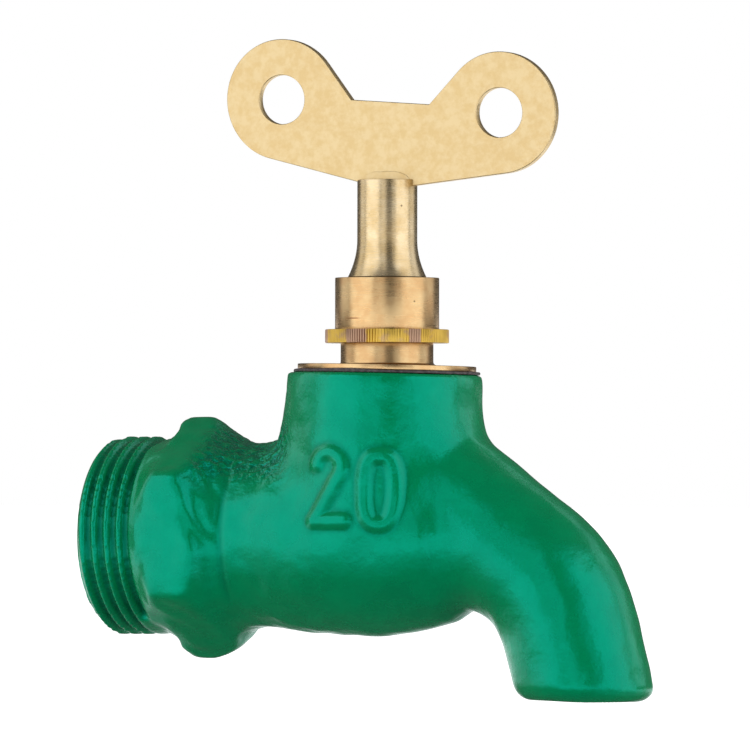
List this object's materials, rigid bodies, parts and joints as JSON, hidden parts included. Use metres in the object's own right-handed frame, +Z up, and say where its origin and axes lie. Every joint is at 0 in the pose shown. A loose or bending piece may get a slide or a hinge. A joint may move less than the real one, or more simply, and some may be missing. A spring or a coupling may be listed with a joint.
{
  "type": "garden tap with a lift-off key",
  "caption": "Key-operated garden bib tap: enamelled casting with a male pipe thread and a curved spout, brass headwork, rising jumper valve and a butterfly key that lifts off.",
  "frame": {"origin": "centre of the inlet's end face, on the barrel's axis", "axes": "+X along the barrel from the inlet to the spout, +Z up along the valve's axis, Y across the tap"},
  "size_m": [0.0772, 0.028, 0.0868],
  "materials": {
    "enamelled_casting": "gloss green enamel over a rough casting",
    "turned_brass": "turned, bright",
    "sheet_brass": "rolled sheet, finely scratched",
    "gasket_rubber": "matt",
    "seat_rubber": "matt",
    "packing_cord": "pressed graphited packing"
  },
  "bodies": {
    "tap": {"tap_body": "enamelled_casting", "seat_ring": "turned_brass", "bonnet_gasket": "gasket_rubber", "bonnet": "turned_brass", "packing_washer": "turned_brass", "packing_ring_lower": "packing_cord", "packing_ring_upper": "packing_cord", "gland_washer": "turned_brass", "lock_collar": "turned_brass"},
    "valve": {"jumper": "turned_brass", "seat_washer": "seat_rubber", "washer_nut": "turned_brass"},
    "spindle": {"stem": "turned_brass"},
    "key": {"key_barrel": "turned_brass", "key_wings": "sheet_brass"}
  },
  "joints": [
    {"name": "valve_lift", "type": "slide", "parent": "tap", "child": "valve", "axis": [0, 0, 1], "range_m": [0, 0.004]},
    {"name": "stem_turn", "type": "hinge", "parent": "valve", "child": "spindle", "pos_m": [0.0395, 0, 0.02], "axis": [0, 0, 1], "range_deg": [0, 720]},
    {"name": "key_lift", "type": "slide", "parent": "spindle", "child": "key", "axis": [0, 0, 1], "range_m": [0, 0.012]}
  ],
  "couplings": [
    {"joint": "valve_lift", "follows": "stem_turn", "m_per_rad": 0.0003183}
  ]
}
